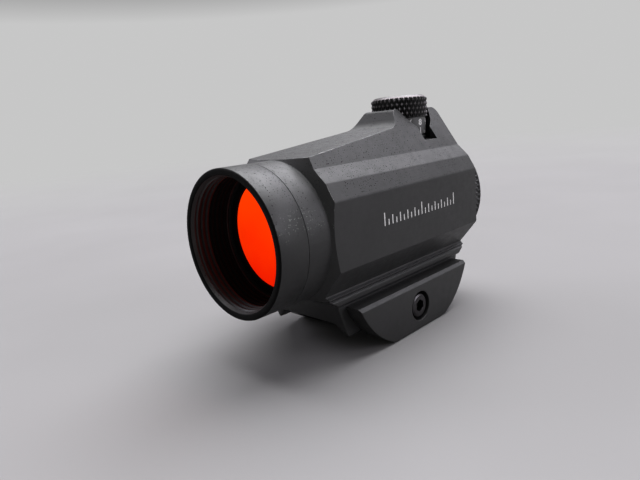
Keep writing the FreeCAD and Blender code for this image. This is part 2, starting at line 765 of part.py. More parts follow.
def mount_base():
    """Top plate, core and fixed jaw of the rail mount."""
    foot = above_axis(FOOT_BOTTOM)
    plate_section = [
        (TOP_PLATE_HALF_WIDTH - 0.45, foot, 0),
        (TOP_PLATE_HALF_WIDTH, foot - 0.45, 0),
        (TOP_PLATE_HALF_WIDTH, TOP_PLATE_BOTTOM + 0.3, 0),
        (TOP_PLATE_HALF_WIDTH - 0.3, TOP_PLATE_BOTTOM, 0),
    ]
    length = TOP_PLATE_HALF_LENGTH
    top_plate = slab_along_y(both_sides(plate_section), -length, length)
    plate_outline = [
        (-length, foot, 0),
        (length, foot, 0),
        (length - TOP_PLATE_SLANT, TOP_PLATE_BOTTOM, 0),
        (TOP_PLATE_SLANT - length, TOP_PLATE_BOTTOM, 0),
    ]
    top_plate = top_plate.common(slab_along_x(plate_outline, -HALF_WIDTH, HALF_WIDTH))
    core_outline = [
        (-22.4, TOP_PLATE_BOTTOM, 0),
        (22.4, TOP_PLATE_BOTTOM, 0),
        (19.9, LAND_TOP, 1.0),
        (-19.9, LAND_TOP, 1.0),
    ]
    core = slab_along_x(core_outline, -CORE_HALF_WIDTH, CORE_HALF_WIDTH)
    fixed_jaw = slab_along_y(jaw_section(CORE_HALF_WIDTH, -1), -25, 25)
    fixed_jaw = fixed_jaw.common(boat_outline(-16, -4))
    body = top_plate.fuse([core, fixed_jaw]).cut(rail_groove())
    groove_x = (-CORE_HALF_WIDTH - 1, CORE_HALF_WIDTH + 1)
    groove_y = (-BOLT_GROOVE_HALF_WIDTH, BOLT_GROOVE_HALF_WIDTH)
    body = body.cut(block(groove_x, groove_y, (LAND_TOP, BOLT_GROOVE_DEPTH)))
    body = body.cut(rod(BOLT_HOLE_RADIUS, -15, 15, LEFT, V(0, 0, CROSS_BOLT_Z)))
    body = body.cut(rod(2.3, -15, -10.8, LEFT, V(0, 0, CROSS_BOLT_Z)))
    cutters = [recoil_key()]
    for y in (-GUIDE_PIN_Y, GUIDE_PIN_Y):
        cutters.append(rod(1.0, 5.0, 11.0, LEFT, V(0, y, GUIDE_PIN_Z)))
        cutters.append(rod(1.7, 8.65, 11.0, LEFT, V(0, y, GUIDE_PIN_Z)))
    for x, y in base_screw_spots():
        cutters.append(Part.makeCylinder(1.35, 8, V(x, y, -0.5)))
        cutters.append(Part.makeCone(2.55, 1.35, 1.4, V(x, y, -0.01)))
    return body.cut(cutters)


def base_screws():
    screws = []
    for x, y in base_screw_spots():
        head = Part.makeCone(2.25, 1.25, 1.15, V(x, y, 0.2))
        shank = Part.makeCylinder(1.25, 8.1 - 1.35, V(x, y, 1.35))
        hexagon = regular_prism(0.85, 0.1, 1.2, UP, V(x, y, 0))
        screws.append(head.fuse(shank).cut(hexagon))
    return group(screws)


def regular_prism(flat_to_centre, start, end, facing, centre):
    """Six-sided socket shape between two stations."""
    corner = flat_to_centre / math.cos(math.radians(30))
    angles = [math.radians(60 * index) for index in range(6)]
    points = [V(corner * math.cos(a), corner * math.sin(a), start) for a in angles]
    face = Part.Face(Part.makePolygon(points + points[:1]))
    return placed(face.extrude(V(0, 0, end - start)), facing, centre)


def clamp_plate():
    """Moving jaw, with its counterbored bolt hole and blind holes for the guide pins."""
    plate = slab_along_y(jaw_section(PLATE_START, 1), -25, 25)
    plate = plate.common(boat_outline(4, 16))
    cutters = [
        rod(BOLT_HOLE_RADIUS, 8, 15, LEFT, V(0, 0, CROSS_BOLT_Z)),
        rod(3.35, BOLT_HEAD_START, 15, LEFT, V(0, 0, CROSS_BOLT_Z)),
    ]
    for y in (-GUIDE_PIN_Y, GUIDE_PIN_Y):
        cutters.append(rod(1.0 + THREAD_GAP, 10, 13.4, LEFT, V(0, y, GUIDE_PIN_Z)))
    return plate.cut(cutters)


def clamp_screw():
    """Cross bolt with a hexagon socket head. Its shank is also the recoil stop."""
    centre = V(0, 0, CROSS_BOLT_Z)
    head = turned([
        (0, BOLT_HEAD_START),
        (BOLT_HEAD_RADIUS, BOLT_HEAD_START),
        (BOLT_HEAD_RADIUS, BOLT_HEAD_END - 0.5),
        (BOLT_HEAD_RADIUS - 0.15, BOLT_HEAD_END - 0.18),
        (BOLT_HEAD_RADIUS - 0.5, BOLT_HEAD_END),
        (0, BOLT_HEAD_END),
    ], LEFT, centre)
    shank = rod(BOLT_RADIUS, -13.5, BOLT_HEAD_START, LEFT, centre)
    socket = regular_prism(1.25, BOLT_HEAD_END - 1.4, 15, LEFT, centre)
    return head.fuse(shank).cut(socket)


def guide_pins():
    pins = []
    for y in (-GUIDE_PIN_Y, GUIDE_PIN_Y):
        pins.append(rod(1.0, 5.0, 13.2, LEFT, V(0, y, GUIDE_PIN_Z)))
    return group(pins)


def plate_springs():
    """Coil springs on the guide pins that push the clamp plate open."""
    springs = []
    for y in (-GUIDE_PIN_Y, GUIDE_PIN_Y):
        centre = V(0, y, GUIDE_PIN_Z)
        springs.append(coil_spring(1.36, 0.18, 3, 8.67, 10.73, LEFT, centre))
    return group(springs)


# ---------------------------------------------------------------- all pieces


def all_parts():
    crown, flint = objective_lens_halves()
    parts = {
        "housing": housing(),
        "objective_bezel": objective_bezel(),
        "objective_o_ring": o_ring(13.1, 0.37, FRONT + 9.02),
        "pivot_pins": pivot_pins(),
        "pivot_ring": pivot_ring(),
        "tilt_pins": tilt_pins(),
        "inner_tube": inner_tube(),
        "objective_lens_front": crown,
        "objective_lens_rear": flint,
        "objective_lens_ring": ring(11.54, APERTURE_RADIUS, CELL_FRONT + 0.05, FRONT + 10.2),
        "led_holder": led_holder(),
        "led_emitter": led_emitter(),
        "led_ribbon": led_ribbon(),
        "return_spring": return_spring(),
        "ocular_o_ring": o_ring(11.0, 0.3, FRONT + 63.31),
        "ocular_lens": rod(11.5, FRONT + 63.62, FRONT + 65.2),
        "ocular_lens_ring": ring(11.58, 10.6, FRONT + 65.2, FRONT + 66.0),
        "eyepiece_o_ring": o_ring(12.4, 0.33, FRONT + 66.45),
        "eyepiece_ring": eyepiece_ring(),
        "mount_base": mount_base(),
        "recoil_key": recoil_key(),
        "base_screws": base_screws(),
        "thread_insert": ring(2.3, 1.5, -14.4, -10.8, LEFT, V(0, 0, CROSS_BOLT_Z)),
        "guide_pins": guide_pins(),
        "plate_springs": plate_springs(),
        "clamp_plate": clamp_plate(),
        "clamp_screw": clamp_screw(),
    }
    parts.update(turret_parts("elevation", UP))
    parts.update(turret_parts("windage", RIGHT))
    parts.update(switch_parts())
    return parts


os.makedirs("parts", exist_ok=True)
for node, shape in all_parts().items():
    shape.exportStep(f"parts/{node}.step")
    print(node, len(shape.Solids), round(shape.Volume, 2), shape.isValid())
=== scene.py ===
import json
import math

import bmesh
import bpy
from mathutils import Matrix, Vector


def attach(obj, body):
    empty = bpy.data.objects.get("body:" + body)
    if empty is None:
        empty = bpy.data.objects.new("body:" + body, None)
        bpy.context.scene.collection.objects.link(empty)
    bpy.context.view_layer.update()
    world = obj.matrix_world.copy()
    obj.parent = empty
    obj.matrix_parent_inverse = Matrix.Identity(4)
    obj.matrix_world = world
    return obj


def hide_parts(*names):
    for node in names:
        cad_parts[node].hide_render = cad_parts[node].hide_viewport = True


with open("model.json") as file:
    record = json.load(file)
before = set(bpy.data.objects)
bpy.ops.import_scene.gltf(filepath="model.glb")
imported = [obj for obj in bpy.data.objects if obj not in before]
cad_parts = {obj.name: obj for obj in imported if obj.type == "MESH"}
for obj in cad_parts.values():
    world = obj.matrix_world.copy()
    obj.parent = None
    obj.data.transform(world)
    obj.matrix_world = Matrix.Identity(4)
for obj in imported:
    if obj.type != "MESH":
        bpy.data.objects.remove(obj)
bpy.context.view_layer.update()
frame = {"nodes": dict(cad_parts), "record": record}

# Looks of a compact tube red dot sight. Its front faces -Y and its left side +X.
# Lengths are in millimetres until they reach a mesh.
MM = 0.001
UP = Vector((0, 0, 1))
REARWARD = Vector((0, 1, 0))
RIGHT = Vector((-1, 0, 0))

AXIS_HEIGHT = 19.6          # optical axis above the rail seat
FLOOR = -6.9
TURRET_Y = 15.95
SWITCH_Y = -10.0
LEFT_FACE = 14.96           # just proud of the housing's flat left side

SHARP_ANGLE = 38            # degrees between faces that makes an edge sharp
KNURL_STRETCH = 1.85        # length of a diamond over its width
KNURL_REACH = 0.55          # how far below the rim a knurled surface may lie
KNURL_SHARPNESS = 1.2       # above 1 the diamonds get flat crests
KNOB_RADIUS = 6.76
KNOB_CHAMFER_START = 24.3
KNOB_CHAMFER_SLOPE = 1.233  # radius lost per unit of height
CREST_DEPTH = 0.13          # of the knurl, how much of it shows the rubbed crests
GROOVE_DEPTH = 0.03         # a chamfer cut deeper than this counts as knurled
RING_RADIUS = 14.5
SWITCH_RADIUS = 11.6
MARK_HEIGHT = 0.02          # of painted marks above their surface

BEZEL_RIM_END = -38.25      # the flat front face of the bezel lies before it, painted darker as painted shade
BEZEL_LIP_END = -37.0       # before it, the inside is finished like the outside
BEZEL_PAINTED_LIGHT_END = -34.3      # before it, the inside grooves are painted lighter, as painted light falling into the mouth
BEZEL_INSIDE = 13.15        # radius that parts the inside from the outside

DIAL_TURN = 243.2           # degrees that the dials stand turned at rest
DIAL_TICKS = 24
DIAL_SURFACE = 6.2
SWITCH_LEVELS = 12
DIGIT_SIZE = 1.9
SCALE_TICKS = 21

HORIZON = 0.50              # brightness of the studio at eye level
CEILING = 0.12
ZENITH = 0.16
FLOOR_HALF = 6.0            # metres
FLOOR_FADE = (200.0, 900.0)
LAMP_DISTANCE = 1.5         # metres

OPTICAL_AXIS = Vector((0, 0, AXIS_HEIGHT))
TURRET_CENTRE = Vector((0, TURRET_Y, AXIS_HEIGHT))
SWITCH_CENTRE = Vector((0, SWITCH_Y, AXIS_HEIGHT))


# ---------------------------------------------------------------- materials


class Look:
    """A material under construction. Every pattern is laid out in millimetres on the part."""

    def __init__(self, name):
        self.material = bpy.data.materials.new(name)
        self.material.use_nodes = True
        self.tree = self.material.node_tree
        self.shader = self.tree.nodes["Principled BSDF"]
        spot = self.tree.nodes.new("ShaderNodeTexCoord")
        self.place = self.vector("SCALE", spot.outputs["Object"], scale=1 / MM)

    def node(self, kind, inputs, **settings):
        made = self.tree.nodes.new("ShaderNode" + kind)
        for key, value in settings.items():
            setattr(made, key, value)
        for key, value in inputs.items():
            self.put(made.inputs[key], value)
        return made

    def put(self, socket, value):
        if isinstance(value, bpy.types.NodeSocket):
            self.tree.links.new(value, socket)
        else:
            socket.default_value = value

    def set(self, **values):
        for key, value in values.items():
            self.put(self.shader.inputs[key.replace("_", " ")], value)

    def vector(self, operation, first, second=None, scale=None):
        inputs = {0: first}
        if second is not None:
            inputs[1] = second
        if scale is not None:
            inputs["Scale"] = scale
        made = self.node("VectorMath", inputs, operation=operation)
        return made.outputs["Value" if operation in ("DOT_PRODUCT", "LENGTH") else "Vector"]

    def maths(self, operation, first, second=0.0, clamp=False):
        made = self.node("Math", {0: first, 1: second}, operation=operation, use_clamp=clamp)
        return made.outputs[0]

    def stretch(self, x=1.0, y=1.0, z=1.0):
        """Place coordinates multiplied along each axis."""
        return self.vector("MULTIPLY", self.place, (x, y, z))

    def noise(self, per_mm, detail=3.0, place=None, roughness=0.55):
        made = self.node(
            "TexNoise",
            {"Vector": place or self.place, "Scale": per_mm, "Detail": detail, "Roughness": roughness},
        )
        return made.outputs["Fac"]

    def cells(self, per_mm):
        return self.node("TexVoronoi", {"Vector": self.place, "Scale": per_mm}).outputs

    def remap(self, value, low, high, to_low=0.0, to_high=1.0):
        inputs = {0: value, 1: low, 2: high, 3: to_low, 4: to_high}
        return self.node("MapRange", inputs, clamp=True).outputs[0]

    def blend(self, share, first, second):
        made = self.node("Mix", {0: share, 6: first, 7: second}, data_type="RGBA")
        return made.outputs[2]

    def bump(self, height, depth_mm, strength=1.0, normal=None):
        inputs = {"Height": height, "Distance": depth_mm * MM, "Strength": strength}
        if normal is not None:
            inputs["Normal"] = normal
        return self.node("Bump", inputs).outputs["Normal"]

    def edges(self, radius_mm):
        """Rounded normal near an edge, and how much it is turned from the plain one."""
        bevel = self.node("Bevel", {"Radius": radius_mm * MM}, samples=6).outputs[0]
        plain = self.node("NewGeometry", {}).outputs["Normal"]
        turned = self.vector("DOT_PRODUCT", bevel, plain)
        return bevel, self.remap(turned, 0.997, 0.93)

    def facing(self, axis, low, high):
        """0 to 1 as the surface turns towards an axis."""
        split = self.node("SeparateXYZ", {0: self.node("NewGeometry", {}).outputs["Normal"]})
        return self.remap(split.outputs[axis], low, high)

    def spot(self):
        """Place on the part, as X, Y and Z."""
        return self.node("SeparateXYZ", {0: self.place}).outputs

    def front_upper(self):
        """1 on the upper front of the housing, fading to 0 behind, below and on the round bell."""
        spot = self.spot()
        front = self.remap(spot["Y"], 12.0, -20.0, 0.25, 1.0)
        height = self.maths("SUBTRACT", spot["Z"], AXIS_HEIGHT)
        across = self.maths("POWER", spot["X"], 2.0)
        away = self.maths("SQRT", self.maths("ADD", across, self.maths("POWER", height, 2.0)))
        share = self.maths("MULTIPLY", front, self.remap(away, 14.5, 14.8))
        return self.maths("MULTIPLY", share, self.remap(height, 2.0, 7.0))

    def bell_left(self):
        """1 on the upper left of the bell, fading to 0 above, below and behind."""
        spot = self.spot()
        front = self.remap(spot["Y"], -22.0, -27.0)
        height = self.maths("SUBTRACT", spot["Z"], AXIS_HEIGHT + 4.1)
        share = self.maths("MULTIPLY", front, self.remap(spot["X"], 9.0, 11.0))
        return self.maths("MULTIPLY", share, self.remap(self.maths("ABSOLUTE", height), 2.9, 1.3))

    def specks(self, per_mm, size, share):
        """Tiny scattered spots: 1 inside a spot. Only some cells of the pattern hold one."""
        cell = self.cells(per_mm)
        spot = self.remap(cell["Distance"], size, size * 0.6)
        lottery = self.node("SeparateColor", {0: cell["Color"]}).outputs[0]
        chosen = self.maths("LESS_THAN", lottery, share)
        return self.maths("MULTIPLY", spot, chosen)


def grey(level, warmth=0.0):
    return (level * (1 + warmth), level, level * (1 - warmth), 1.0)


def scaled(colour, factor):
    return tuple(min(1.0, part * factor) for part in colour) + (1.0,)


def anodised(
    name, level, roughness=0.46, wear=0.0, soil=0.5, glints=0.1, grain=0.016, streak=None, specular=0.5,
    bevel=0.16,
):
    """Bead-blasted black anodised aluminium: fine grain and a cloudy tone.

    soil strews dark specks on upper faces, glints strews light specks on the bell's left, streak
    lays stretched milling lines, wear rubs the edges of the upper front, bevel rounds the edges.
    """
    look = Look(name)
    cloud = look.remap(look.noise(0.09, 4), 0.3, 0.7)
    patch = look.noise(0.6, 3)
    grit = look.noise(5.0, 2)
    fine = look.noise(11.0, 1)
    colour = look.blend(cloud, grey(level * 0.8), grey(level * 1.2))
    mottle = look.remap(grit, 0.35, 0.68)
    colour = look.blend(look.maths("MULTIPLY", mottle, 0.35), colour, grey(level * 1.9))

    rough = look.remap(patch, 0.3, 0.7, roughness - 0.05, roughness + 0.06)
    rough = look.maths("ADD", rough, look.maths("MULTIPLY", mottle, 0.08))
    height = look.maths("ADD", look.maths("MULTIPLY", grit, 0.8), look.maths("MULTIPLY", fine, 0.5))
    bare = 0.0
    if soil:
        settled = look.remap(look.noise(0.16, 3), 0.36, 0.52)
        settled = look.maths("MULTIPLY", look.facing("Z", 0.05, 0.6), settled)
        pits = look.maths("MAXIMUM", look.specks(1.5, 0.2, 0.3), look.specks(3.1, 0.3, 0.34))
        pits = look.maths("MULTIPLY", look.maths("MULTIPLY", pits, settled), soil, clamp=True)
        bare = pits
        colour = look.blend(pits, colour, grey(0.001))
        rough = look.maths("ADD", rough, look.maths("MULTIPLY", pits, 0.5), clamp=True)
        height = look.maths("SUBTRACT", height, look.maths("MULTIPLY", pits, 3.0))
    if streak:
        lines = look.noise(1.0, 3, look.stretch(*streak))
        height = look.maths("ADD", height, look.maths("MULTIPLY", lines, 0.3))
        rough = look.maths("ADD", rough, look.remap(lines, 0.3, 0.7, -0.04, 0.04))
    if glints:
        field = look.maths("MULTIPLY", look.remap(look.noise(0.25, 2), 0.38, 0.52), look.bell_left())
        lint = look.maths("MULTIPLY", look.specks(3.6, 0.25, glints), field)
        colour = look.blend(lint, colour, (0.30, 0.35, 0.29, 1))
    normal = None
    if bevel:
        normal, edge = look.edges(bevel)
    if wear:
        rub = look.remap(look.noise(0.5, 5), 0.44, 0.60)
        worn = look.maths("MULTIPLY", look.maths("MULTIPLY", edge, rub), wear, clamp=True)
        worn = look.maths("MULTIPLY", worn, look.front_upper())
        colour = look.blend(worn, colour, grey(0.50, 0.01))
        rough = look.maths("SUBTRACT", rough, look.maths("MULTIPLY", worn, 0.14))
        bare = look.maths("MAXIMUM", bare, look.maths("MULTIPLY", worn, 0.8))
    look.set(Base_Color=colour, Roughness=rough, Metallic=bare, Normal=look.bump(height, grain, 0.8, normal))
    look.shader.inputs["Specular IOR Level"].default_value = specular
    return look.material


def metal(name, colour, roughness, grain=0.004, tint=0.12):
    """Bare or plated metal with fine scratches and a cloudy finish."""
    look = Look(name)
    cloud = look.remap(look.noise(0.5, 4), 0.3, 0.7)
    fine = look.noise(9.0, 3)
    base = look.blend(cloud, scaled(colour, 1 - tint), scaled(colour, 1 + tint))
    stain = look.specks(1.3, 0.12, 0.2)
    base = look.blend(look.maths("MULTIPLY", stain, 0.5), base, scaled(colour, 0.35))
    rough = look.remap(fine, 0.3, 0.7, roughness * 0.8, roughness * 1.25)
    rounded, edge = look.edges(0.08)
    rough = look.maths("SUBTRACT", rough, look.maths("MULTIPLY", edge, 0.05), clamp=True)
    look.set(Base_Color=base, Roughness=rough, Normal=look.bump(fine, grain, 0.6, rounded))
    look.shader.inputs["Metallic"].default_value = 1.0
    return look.material


def plastic(name, colour, roughness, per_mm=3.0, grain=0.006, variation=0.2):
    """Moulded plastic or rubber with a fine sand texture."""
    look = Look(name)
    cloud = look.remap(look.noise(0.4, 3), 0.3, 0.7)
    sand = look.noise(per_mm, 3)
    base = look.blend(cloud, scaled(colour, 1 - variation), scaled(colour, 1 + variation))
    rough = look.remap(sand, 0.3, 0.7, roughness - 0.06, roughness + 0.06)
    look.set(Base_Color=base, Roughness=rough, Normal=look.bump(sand, grain, 0.8))
    return look.material


def coated_glass(name):
    """Front lens. The coating sends the red end of the light back out of the front face and lets the rest
    through; here the front face is painted red-orange, lighter towards the top as a painted reflection, and
    glows as painted light, and the rear face is painted a dim pale blue as painted see-through light."""
    look = Look(name)
    # painted reflection: the lens colour is lighter and more orange towards the top
    painted_top_light = look.remap(look.spot()["Z"], 8.0, 31.0)
    swirl = look.remap(look.noise(0.12, 2), 0.3, 0.7, -0.12, 0.12)
    share = look.maths("ADD", painted_top_light, swirl, clamp=True)
    colour = look.blend(share, (0.90, 0.020, 0.0003, 1), (1.0, 0.068, 0.0005, 1))
    smear = look.noise(0.45, 4)
    dust = look.specks(0.8, 0.05, 0.3)
    colour = look.blend(look.maths("MULTIPLY", dust, 0.35), colour, (1.0, 0.22, 0.08, 1))
    # painted light: the rear face is painted a dim pale blue for the light seen through the lens
    painted_see_through = look.blend(share, (0.10, 0.145, 0.150, 1), (0.15, 0.205, 0.215, 1))
    colour = look.blend(look.facing("Y", -0.05, 0.05), colour, painted_see_through)
    rough = look.remap(smear, 0.35, 0.75, 0.03, 0.10)
    # painted light: the lens glows with its own colour though it is no lamp
    look.set(Base_Color=colour, Roughness=rough, Emission_Color=colour)
    look.shader.inputs["Emission Strength"].default_value = 0.7
    look.shader.inputs["Specular IOR Level"].default_value = 0.3
    return look.material


def clear_glass(name):
    """Uncoated glass with faint smears."""
    look = Look(name)
    smear = look.remap(look.noise(0.3, 4), 0.4, 0.75, 0.0, 0.05)
    tint = look.blend(look.remap(look.noise(0.2, 2), 0.3, 0.7), (0.86, 0.95, 0.96, 1), (0.93, 0.98, 0.99, 1))
    look.set(Base_Color=tint, Roughness=smear)
    look.shader.inputs["Transmission Weight"].default_value = 1.0
    look.shader.inputs["IOR"].default_value = 1.52
    return look.material


def paint(name, level):
    """White laser marking: slightly broken, so the black shows through."""
    look = Look(name)
    gaps = look.remap(look.noise(6.0, 3), 0.34, 0.46)
    colour = look.blend(gaps, grey(level * 0.35), grey(level, 0.01))
    look.set(Base_Color=colour, Roughness=look.remap(look.noise(9.0, 2), 0.3, 0.7, 0.5, 0.7))
    return look.material


def emitter(name):
    """Clouded yellow body of the light source, unlit."""
    look = Look(name)
    body = look.blend(look.remap(look.noise(4.0, 2), 0.4, 0.6), (0.75, 0.62, 0.40, 1), (0.85, 0.78, 0.60, 1))
    look.set(Base_Color=body, Roughness=look.remap(look.noise(7.0, 2), 0.3, 0.7, 0.25, 0.4))
    return look.material


def smooth_black(name, level, roughness, **settings):
    """Turned black metal: no specks, and no edges rounded by the material."""
    return anodised(name, level, roughness, soil=0.0, glints=0.0, bevel=0.0, **settings)


looks = {
    "black_anodised": anodised("black_anodised", 0.022),
    "knob_black": smooth_black("knob_black", 0.012, 0.32, grain=0.003),
    "dial_grey": anodised("dial_grey", 0.075, 0.40, soil=0.0, glints=0.0),
    # the matte black inside of the tube, made darker than its finish as painted shade where little light
    # enters
    "inner_black": smooth_black("inner_black", 0.004, 0.80, specular=0.12),
    "coated_glass": coated_glass("coated_glass"),
    "clear_glass": clear_glass("clear_glass"),
    "rubber": plastic("rubber", (0.012, 0.012, 0.013), 0.6, 4.0),
    "black_steel": metal("black_steel", (0.075, 0.072, 0.075), 0.34, 0.006, 0.2),
    "bright_steel": metal("bright_steel", (0.56, 0.55, 0.54), 0.28),
    "spring_steel": metal("spring_steel", (0.42, 0.41, 0.40), 0.3),
    "brass": metal("brass", (0.62, 0.45, 0.20), 0.32),
    "battery_steel": metal("battery_steel", (0.66, 0.66, 0.65), 0.22),
    "circuit_green": plastic("circuit_green", (0.02, 0.11, 0.045), 0.35, 1.2),
    "black_plastic": plastic("black_plastic", (0.02, 0.02, 0.021), 0.45, 2.5),
    "emitter": emitter("emitter"),
    "amber_film": plastic("amber_film", (0.45, 0.17, 0.03), 0.3, 1.0),
}
own_looks = {
    "housing": anodised(
        "housing_black", 0.022, 0.46, wear=0.8, soil=1.0, glints=0.5, streak=(9.0, 0.25, 9.0)
    ),
    "objective_bezel": anodised("bezel_black", 0.020, 0.44, soil=1.0, glints=0.5, bevel=0.0),
    "mount_base": anodised("mount_black", 0.022, 0.38, soil=0.1, glints=0.0, bevel=0.45),
    "clamp_plate": anodised("clamp_black", 0.020, 0.42, soil=0.1, glints=0.0, bevel=0.3),
}
knob_rim = metal("knob_rim", (0.165, 0.150, 0.154), 0.5, 0.006)
knob_crest = metal("knob_crest", (0.17, 0.16, 0.163), 0.45)
# painted shade: a darker copy of the black finish for the bezel's front face, which faces away from the
# lamps
painted_shade_rim = smooth_black("painted_shade_rim", 0.003, 0.62, grain=0.008, specular=0.12)
# painted light: a lighter copy of the inside black for the first grooves in the bezel's mouth, where light
# falls in
painted_light_grooves = smooth_black("painted_light_grooves", 0.009, 0.50, grain=0.008, specular=0.35)
white = paint("white_marking", 0.62)

for entry in frame["record"]["subparts"]:
    node = frame["nodes"][entry["node"]]
    look = own_looks.get(entry["node"]) or looks[entry["material_slot"]]
    for index in range(len(node.data.materials)):
        node.data.materials[index] = look


# ---------------------------------------------------------------- mesh pieces


def facing_matrix(facing, centre):
    """Takes local +Z to a direction and the local origin to a centre."""
    turn = UP.rotation_difference(facing).to_matrix().to_4x4()
    return Matrix.Translation(centre) @ turn


def add_piece(name, points, faces, look, body):
    """Mesh object from points in millimetres, riding on a CAD body."""
    mesh = bpy.data.meshes.new(name)
    mesh.from_pydata([Vector(point) * MM for point in points], [], faces)
    mesh.validate()
    work = bmesh.new()
    work.from_mesh(mesh)
    bmesh.ops.recalc_face_normals(work, faces=work.faces)
    work.to_mesh(mesh)
    work.free()
    mesh.shade_smooth()
    mesh.set_sharp_from_angle(angle=math.radians(SHARP_ANGLE))
    mesh.materials.append(look)
    piece = bpy.data.objects.new(name, mesh)
    bpy.context.scene.collection.objects.link(piece)
    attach(piece, body)
    return piece


def knurl(radius, pitch, depth, start, end, fade=0.35):
    """Diamond knurl, 30 degrees from the axis: how far the surface sinks at an angle and a station."""
    count = round(2 * math.pi * radius / pitch)

    def saw(value):
        return 1 - abs(2 * (value % 1.0) - 1)

    def relief(angle, station):
        if not start < station < end:
            return 0.0
        along = (station - start) / (pitch * KNURL_STRETCH)
        around = count * angle / (2 * math.pi)
        ridge = min(1.0, KNURL_SHARPNESS * min(saw(around + along), saw(around - along)))
        edge = min(1.0, (station - start) / fade, (end - station) / fade)
        return depth * (1 - ridge) * edge

    return relief, count


def turned_points(profile, segments, matrix, relief=None, step=None):
    """Points and faces of a solid of revolution from closed (radius, station) corners.

    The relief is cut into the outermost cylinder and runs out in the chamfers beside it.
    """
    outer = max(radius for radius, station in profile)
    rings = []
    for index, (radius, station) in enumerate(profile):
        next_radius, next_station = profile[(index + 1) % len(profile)]
        rings.append((radius, station))
        if relief and min(radius, next_radius) > outer - KNURL_REACH:
            cuts = max(2, round(abs(next_station - station) / step))
            for cut in range(1, cuts):
                share = cut / cuts
                part_radius = radius + (next_radius - radius) * share
                rings.append((part_radius, station + (next_station - station) * share))
    points, rows = [], []
    for radius, station in rings:
        rows.append(list(range(len(points), len(points) + segments)))
        for number in range(segments):
            angle = 2 * math.pi * number / segments
            real = min(radius, outer - relief(angle, station)) if relief else radius
            points.append(matrix @ Vector((real * math.cos(angle), real * math.sin(angle), station)))
    faces = []
    for first, second in zip(rows, rows[1:] + rows[:1]):
        for number in range(segments):
            after = (number + 1) % segments
            faces.append([first[number], first[after], second[after], second[number]])
    return points, faces


def knob(prefix, facing):
    """Finger knob with a sharp diamond knurl, a bright chamfer and a dished top."""
    relief, count = knurl(KNOB_RADIUS, 1.14, 0.45, 19.9, 25.1, 0.12)
    profile = [
        (1.79, 19.88), (6.36, 19.88), (KNOB_RADIUS, 20.1), (KNOB_RADIUS, KNOB_CHAMFER_START),
        (6.242, 24.72), (6.02, 24.90), (5.75, 25.06), (5.50, 25.1), (4.9, 25.1), (4.75, 24.95),
        (3.15, 24.95), (3.0, 25.1), (2.1, 25.1), (1.95, 24.95), (0.85, 23.85), (0.85, 22.4), (1.79, 22.4),
    ]
    matrix = facing_matrix(facing, TURRET_CENTRE)
    points, faces = turned_points(profile, count * 10, matrix, relief, 0.105)
    body = f"{prefix}_turret"
    piece = add_piece(f"{prefix}_knob_knurled", points, faces, looks["knob_black"], body)
    piece.data.materials.append(knob_rim)
    piece.data.materials.append(knob_crest)
    knurled, rim, crest = 0, 1, 2
    for polygon in piece.data.polygons:
        spot = polygon.center / MM - TURRET_CENTRE
        station = spot.dot(facing)
        across = (spot - facing * station).length
        above = station - KNOB_CHAMFER_START
        if above > 0:
            grooved = across < KNOB_RADIUS - KNOB_CHAMFER_SLOPE * above - GROOVE_DEPTH
            polygon.material_index = knurled if grooved else rim
        elif across > KNOB_RADIUS - CREST_DEPTH:
            polygon.material_index = crest
    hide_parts(f"{prefix}_knob")


def eyepiece_ring():
    """Rear ring with a knurled band and an inward lip."""
    relief, count = knurl(RING_RADIUS, 1.2, 0.40, 26.0, 28.4)
    profile = [
        (13.02, 25.5), (14.25, 25.5), (RING_RADIUS, 25.75), (RING_RADIUS, 28.6), (14.15, 29.0), (12.6, 29.0),
        (12.45, 28.88), (12.3, 29.0), (11.7, 29.0), (11.3, 28.7), (11.3, 28.3), (13.02, 28.3),
    ]
    matrix = facing_matrix(REARWARD, OPTICAL_AXIS)
    points, faces = turned_points(profile, count * 8, matrix, relief, 0.14)
    piece = add_piece(
        "eyepiece_ring_knurled", points, faces, looks["black_anodised"], "eyepiece_ring"
    )
    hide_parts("eyepiece_ring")


def bezel():
    """Front ring, black outside and dull inside, with stepped grooves against stray light. Its front face is
    painted darker as painted shade, the first grooves in the mouth are painted lighter as painted light, and
    the deeper inside is near-black, partly painted shade.
    """
    profile = [
        (13.04, -38.30), (13.10, -38.42), (13.24, -38.5), (13.95, -38.5), (14.14, -38.46), (14.25, -38.37),
        (14.30, -38.22), (14.30, -31.88), (14.26, -31.80), (14.18, -31.74), (13.48, -31.74),
        (13.48, -29.9), (12.7, -29.9),
    ]
    first_groove, groove_pitch, grooves_inside = -37.6, 1.1, 7
    for index in reversed(range(grooves_inside)):
        start = first_groove + index * groove_pitch
        profile += [(12.7, start + 0.75), (13.04, start + 0.45), (13.04, start + 0.2), (12.7, start)]
    matrix = facing_matrix(REARWARD, OPTICAL_AXIS)
    points, faces = turned_points(profile, 240, matrix)
    piece = add_piece(
        "objective_bezel_turned", points, faces, own_looks["objective_bezel"], "sight_body"
    )
    piece.data.materials.append(looks["inner_black"])
    piece.data.materials.append(painted_shade_rim)
    piece.data.materials.append(painted_light_grooves)
    black, rim, painted_lit_grooves = 1, 2, 3
    for polygon in piece.data.polygons:
        centre = polygon.center / MM
        across = math.hypot(centre.x, centre.z - AXIS_HEIGHT)
        if across < BEZEL_INSIDE and centre.y > BEZEL_LIP_END:
            # painted light on the first grooves, painted shade deeper inside
            polygon.material_index = black if centre.y > BEZEL_PAINTED_LIGHT_END else painted_lit_grooves
        # painted shade: the front face gets the darker copy of the finish
        elif centre.y < BEZEL_RIM_END:
            polygon.material_index = rim
    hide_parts("objective_bezel")


